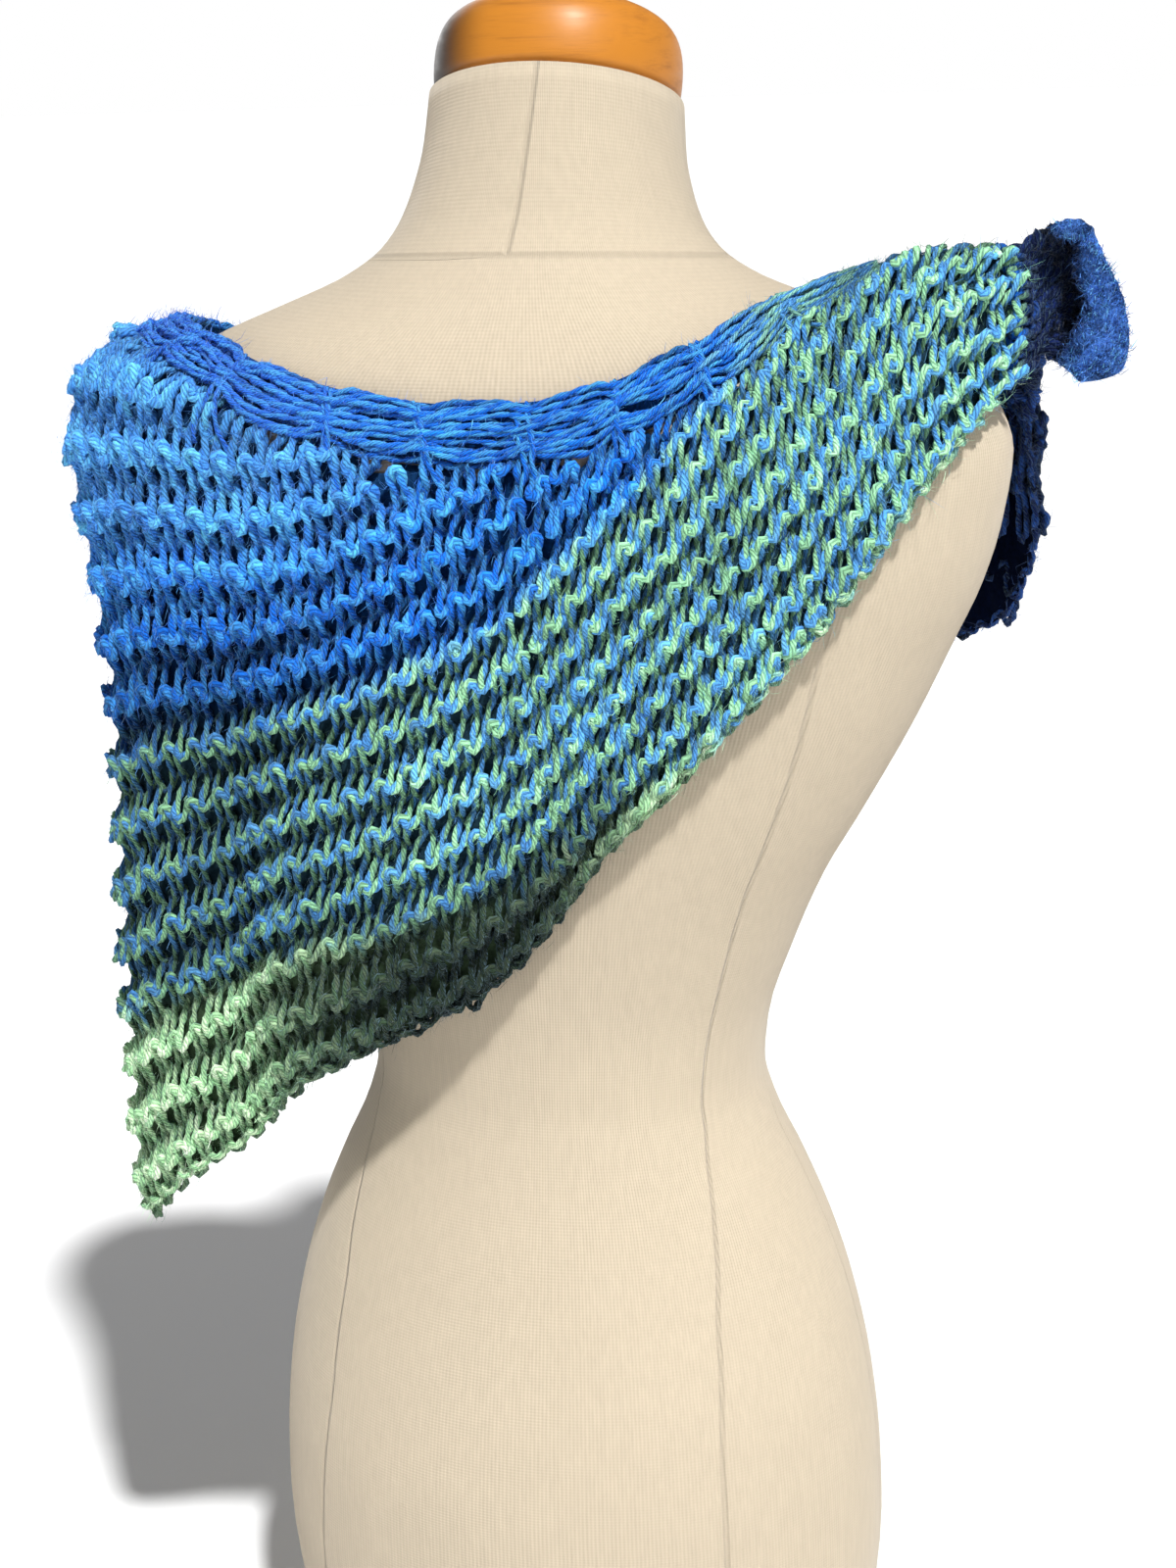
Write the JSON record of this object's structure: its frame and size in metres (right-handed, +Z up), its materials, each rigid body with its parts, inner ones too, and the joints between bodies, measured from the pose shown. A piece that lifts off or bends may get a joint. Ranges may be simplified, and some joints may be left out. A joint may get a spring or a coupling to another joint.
{
  "type": "knit shawl on dress form",
  "caption": "Chunky hand-knit triangular shawl draped over the left shoulder of a limbless dress form with a wooden neck cap, its ends tied at the right shoulder.",
  "frame": {"origin": "centre of the dress form's flat underside, on its upright axis", "axes": "+Z up the form, -Y out of its back, +X towards its right shoulder, where the shawl is tied"},
  "size_m": [0.5091, 0.2709, 0.9047],
  "materials": {
    "jersey": "matte fine cotton jersey stretched over the form",
    "wood": "varnished, satin",
    "marled_wool": "fuzzy two-ply wool, blue and mint green",
    "blue_wool": "fuzzy two-ply wool, medium blue",
    "navy_wool": "fuzzy felted wool, navy"
  },
  "bodies": {
    "root": {"form_body": "jersey", "neck_cap": "wood", "shawl_back": "marled_wool", "shawl_side": "blue_wool", "shawl_front": "navy_wool", "border_back": "blue_wool", "border_side": "blue_wool", "border_front": "blue_wool", "tie_knot": "navy_wool", "tie_end": "navy_wool"}
  },
  "joints": []
}
